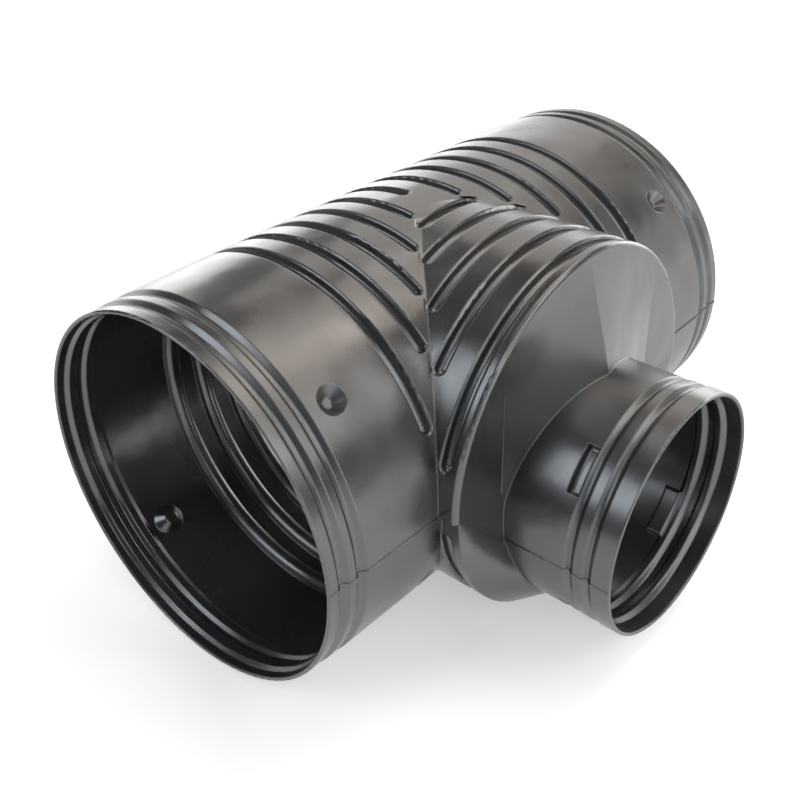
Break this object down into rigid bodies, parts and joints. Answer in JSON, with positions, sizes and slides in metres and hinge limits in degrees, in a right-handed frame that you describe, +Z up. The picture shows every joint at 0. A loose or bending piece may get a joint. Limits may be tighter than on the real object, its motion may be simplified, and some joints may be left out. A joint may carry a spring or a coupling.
{
  "type": "reducing tee",
  "caption": "Blow-moulded reducing tee for corrugated drain pipe: a straight run with a snap coupler at each end, and a grooved branch whose hooded cap carries a smaller collar.",
  "frame": {"origin": "middle of the underside of the bounding box, which is the lowest line of the run", "axes": "+X along the run, -Y out through the smaller collar, +Z up, away from the side the collar is offset to"},
  "size_m": [0.318, 0.257, 0.188],
  "materials": {
    "black_plastic": "black polyethylene with a soft sheen, as it comes out of the mould"
  },
  "bodies": {
    "root": {"tee_body": "black_plastic"}
  },
  "joints": []
}
